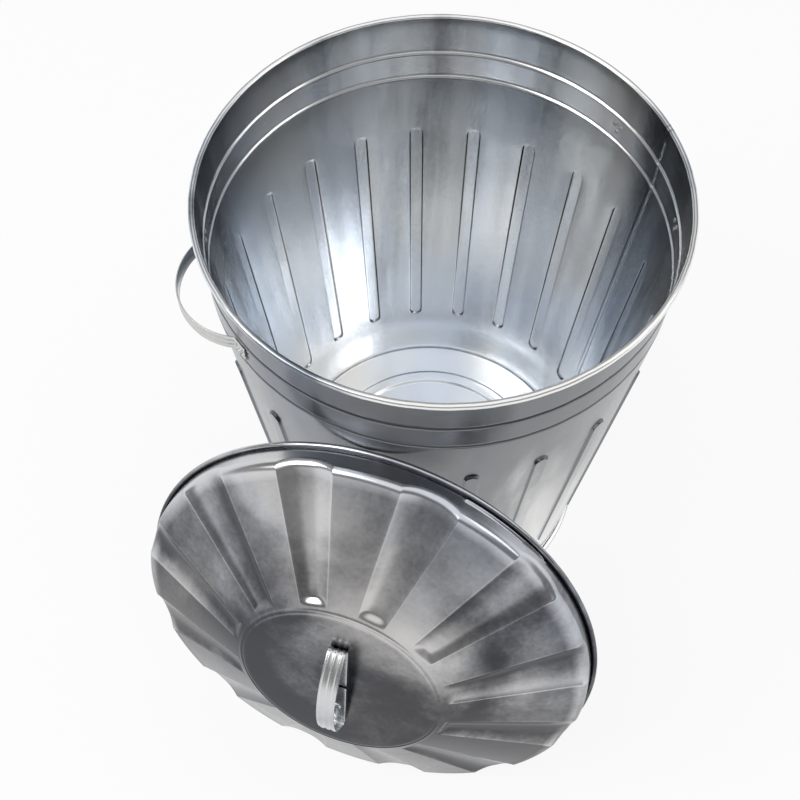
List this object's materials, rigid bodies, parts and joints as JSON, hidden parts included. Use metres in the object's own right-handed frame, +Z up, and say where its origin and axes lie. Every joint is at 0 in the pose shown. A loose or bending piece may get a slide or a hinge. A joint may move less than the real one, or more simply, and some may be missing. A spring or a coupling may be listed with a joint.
{
  "type": "trash can",
  "caption": "Tapered galvanized steel trash can with a rolled rim, ring beads, pressed flutes and side handles; its fluted domed lid is off and leans on the can.",
  "frame": {"origin": "centre of the can's foot ring, on the floor", "axes": "+Z up; the lid leans on the -Y side of the can with its top facing -Y; +X to the right of someone who faces the lid; the side seam and the right handle are 37.7 degrees from +X towards +Y"},
  "size_m": [0.5753, 0.7571, 0.654],
  "materials": {
    "can_sheet": "bright galvanized sheet with soft streaks and smudges",
    "lid_sheet": "duller galvanized sheet with spangle, smudges and scratches",
    "handle_strap": "galvanized ribbed strap",
    "edge_wire": "galvanized wire, hidden in the rolled edges",
    "rivet": "dull zinc-coated rivet"
  },
  "bodies": {
    "can": {"body_shell": "can_sheet", "top_rim_wire": "edge_wire", "bottom_panel": "can_sheet", "base_hoop": "can_sheet", "base_hoop_wire": "edge_wire", "right_handle": "handle_strap", "left_handle": "handle_strap", "right_handle_front_rivets": "rivet", "right_handle_rear_rivets": "rivet", "left_handle_front_rivets": "rivet", "left_handle_rear_rivets": "rivet"},
    "lid": {"lid_shell": "lid_sheet", "lid_rim_wire": "edge_wire", "lid_handle": "handle_strap", "lid_handle_rivets": "rivet"}
  },
  "joints": [
    {"name": "lid_lift", "type": "slide", "parent": "can", "child": "lid", "axis": [0, -0.9548, 0.2974], "range_m": [0, 0.5]}
  ]
}
